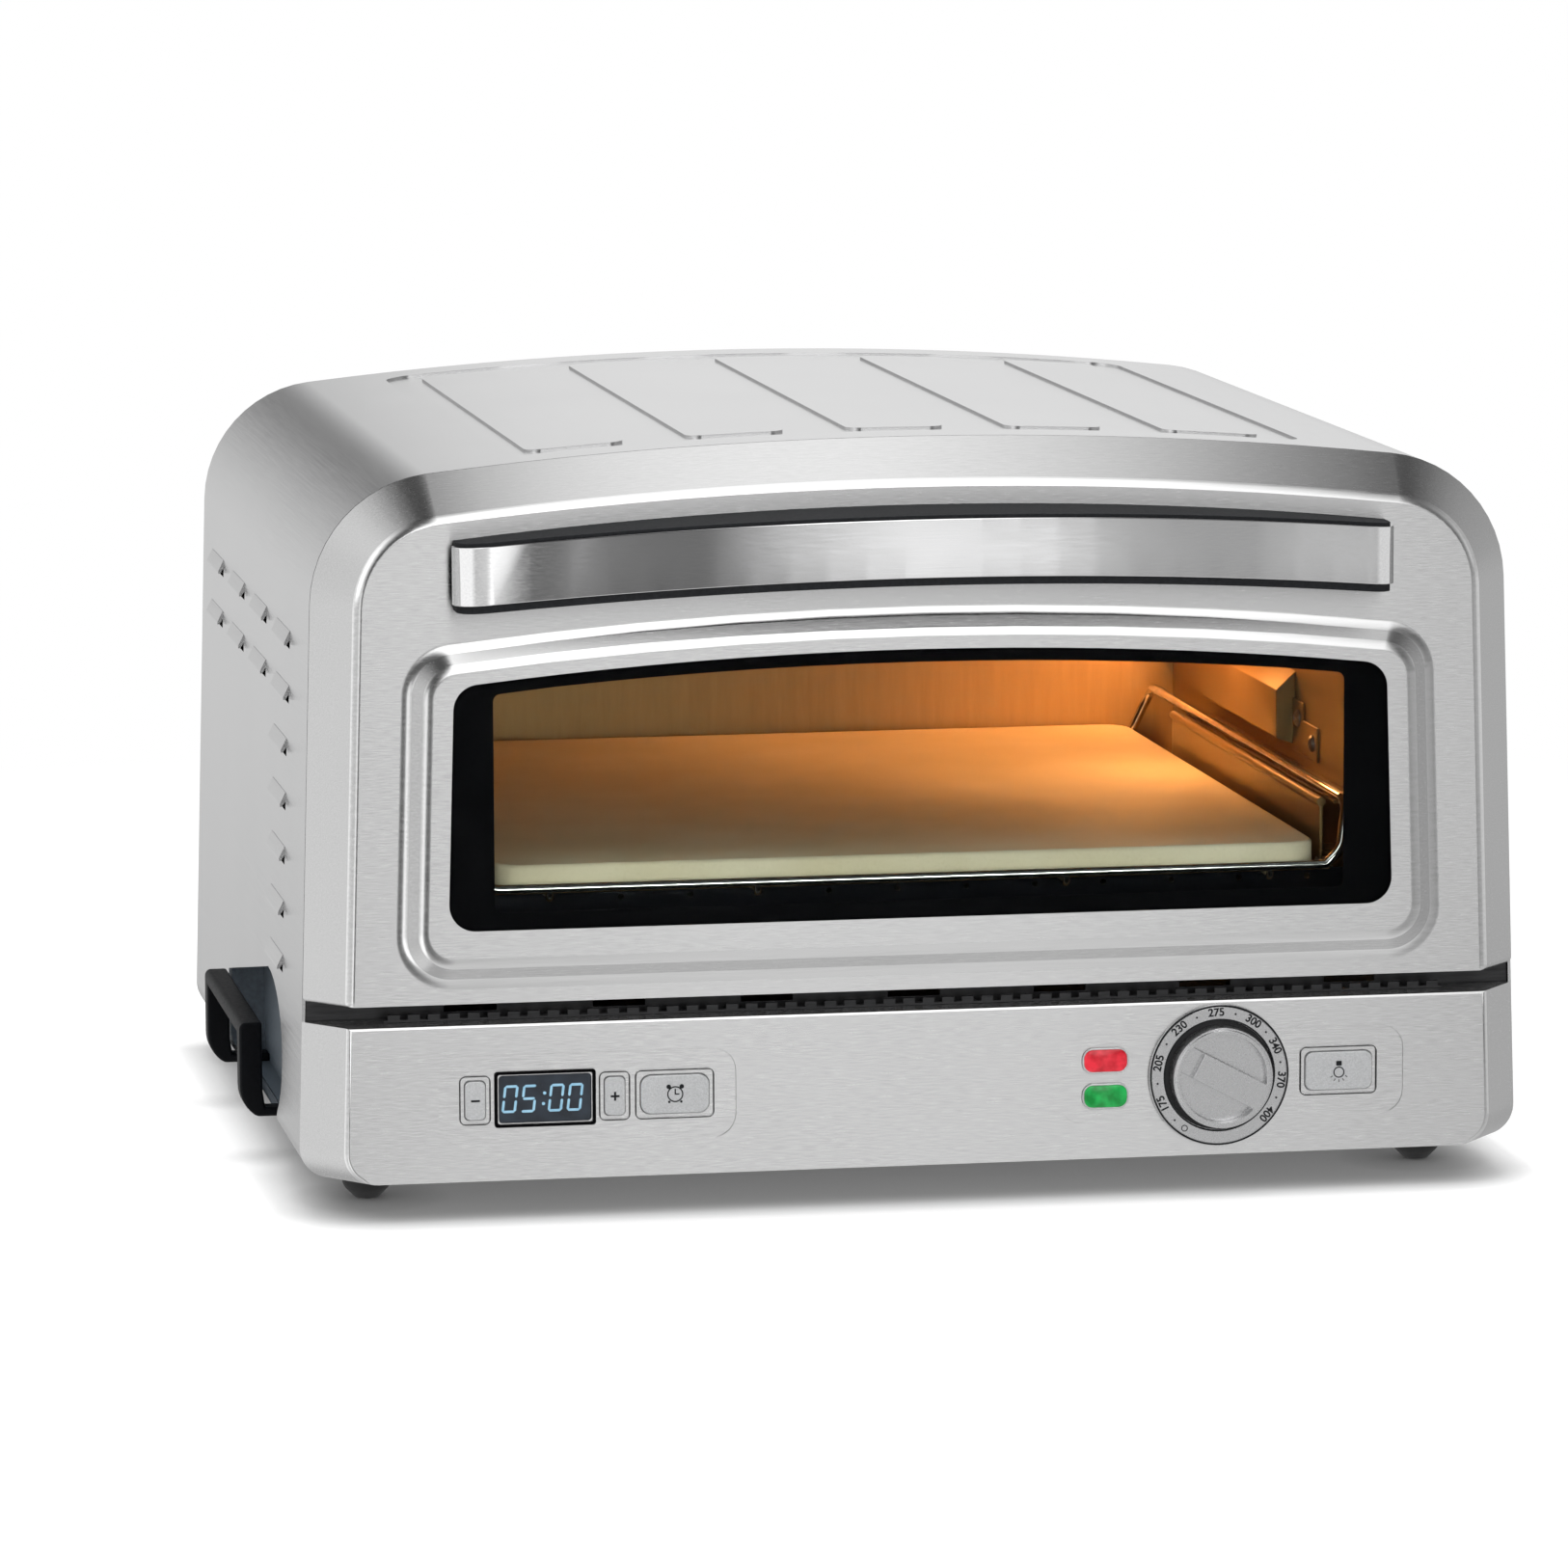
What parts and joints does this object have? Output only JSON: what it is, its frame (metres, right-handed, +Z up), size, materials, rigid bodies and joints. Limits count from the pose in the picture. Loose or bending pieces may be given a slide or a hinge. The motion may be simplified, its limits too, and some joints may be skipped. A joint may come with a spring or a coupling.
{
  "type": "pizza oven",
  "caption": "Countertop electric pizza oven: drop-down glazed door with bar handle, stone on a sliding wire rack, dial, timer keys and carry handles.",
  "frame": {"origin": "middle of the footprint, on the surface that the feet stand on", "axes": "+X to the oven's right as seen from the front, +Y to its back, +Z up; the door opens towards -Y"},
  "size_m": [0.493, 0.45, 0.292],
  "materials": {
    "case_steel": "satin stainless steel skin",
    "door_steel": "stainless steel brushed along its width",
    "panel_steel": "stainless steel brushed along its width",
    "plain_steel": "plain sheet steel",
    "chamber_steel": "aluminised steel, satin",
    "dark_steel": "dark enamel",
    "pocket_grey": "grey painted steel",
    "strap_steel": "polished stainless steel",
    "rack_chrome": "bright chrome plate",
    "pin_steel": "turned steel",
    "heater_rod": "oxidised heater sheath",
    "ceramic_white": "unglazed ceramic",
    "stone_cream": "cordierite stone",
    "rubber_black": "black rubber",
    "handle_black": "moulded black plastic",
    "handle_grey": "moulded charcoal plastic",
    "window_glass": "clear glass with a black printed border",
    "clear_glass": "clear heat-proof glass",
    "lamp_glass": "frosted heat-proof glass",
    "bulb_glass": "lamp bulb",
    "display_glass": "smoked display window",
    "board_green": "circuit board",
    "lens_red": "clear red plastic",
    "lens_green": "clear green plastic",
    "ring_steel": "satin ring",
    "knob_metal": "turned and bead-blasted",
    "key_silver": "silver lacquer"
  },
  "bodies": {
    "oven": {"outer_case": "case_steel", "rear_cover": "plain_steel", "base_plate": "plain_steel", "rubber_feet": "rubber_black", "foot_screws": "pin_steel", "cover_screws": "pin_steel", "rear_spacers": "handle_black", "cord_gland": "rubber_black", "control_panel": "panel_steel", "vent_strip": "dark_steel", "face_frame": "chamber_steel", "hinge_brackets": "pin_steel", "cavity_liner": "chamber_steel", "cavity_sill": "dark_steel", "upper_heaters": "heater_rod", "lower_heaters": "heater_rod", "heater_holders": "ceramic_white", "rack_guides": "chamber_steel", "lamp_cover": "lamp_glass", "lamp_bulb": "bulb_glass", "lamp_socket": "ceramic_white", "lamp_screws": "pin_steel", "display_window": "display_glass", "timer_board": "board_green", "board_posts": "plain_steel", "power_lens": "lens_red", "ready_lens": "lens_green", "dial_ring": "ring_steel", "thermostat": "plain_steel", "carry_handle_left": "handle_black", "carry_handle_right": "handle_black", "pocket_left": "pocket_grey", "pocket_right": "pocket_grey"},
    "door": {"door_shell": "door_steel", "door_glass": "window_glass", "door_inner_panel": "chamber_steel", "door_inner_glass": "clear_glass", "glass_clips": "plain_steel", "handle_body": "handle_grey", "handle_strap": "strap_steel", "handle_screws": "pin_steel", "hinge_pins": "pin_steel"},
    "rack": {"wire_rack": "rack_chrome", "pizza_stone": "stone_cream"},
    "dial": {"knob": "knob_metal", "knob_shaft": "pin_steel"},
    "minus_key": {"minus_key": "key_silver"},
    "plus_key": {"plus_key": "key_silver"},
    "start_key": {"start_key": "key_silver"},
    "lamp_key": {"lamp_key": "key_silver"}
  },
  "joints": [
    {"name": "door_hinge", "type": "hinge", "parent": "oven", "child": "door", "pos_m": [0, -0.179, 0.0876], "axis": [1, 0, 0], "range_deg": [0, 90], "stiffness_Nm_per_rad": 0.6, "springref_deg": -40.11},
    {"name": "rack_slide", "type": "slide", "parent": "oven", "child": "rack", "axis": [0, -1, 0], "range_m": [0, 0.056]},
    {"name": "dial_turn", "type": "hinge", "parent": "oven", "child": "dial", "pos_m": [0.1148, -0.1853, 0.046], "axis": [0, 1, 0], "range_deg": [-81, 192]},
    {"name": "minus_key_press", "type": "slide", "parent": "oven", "child": "minus_key", "axis": [0, 1, 0], "range_m": [0, 0.0012], "stiffness_N_per_m": 400, "springref_m": -0.002},
    {"name": "plus_key_press", "type": "slide", "parent": "oven", "child": "plus_key", "axis": [0, 1, 0], "range_m": [0, 0.0012], "stiffness_N_per_m": 400, "springref_m": -0.002},
    {"name": "start_key_press", "type": "slide", "parent": "oven", "child": "start_key", "axis": [0, 1, 0], "range_m": [0, 0.0012], "stiffness_N_per_m": 400, "springref_m": -0.002},
    {"name": "lamp_key_press", "type": "slide", "parent": "oven", "child": "lamp_key", "axis": [0, 1, 0], "range_m": [0, 0.0012], "stiffness_N_per_m": 400, "springref_m": -0.002}
  ],
  "couplings": [
    {"joint": "rack_slide", "follows": "door_hinge", "m_per_rad": 0.0356}
  ]
}
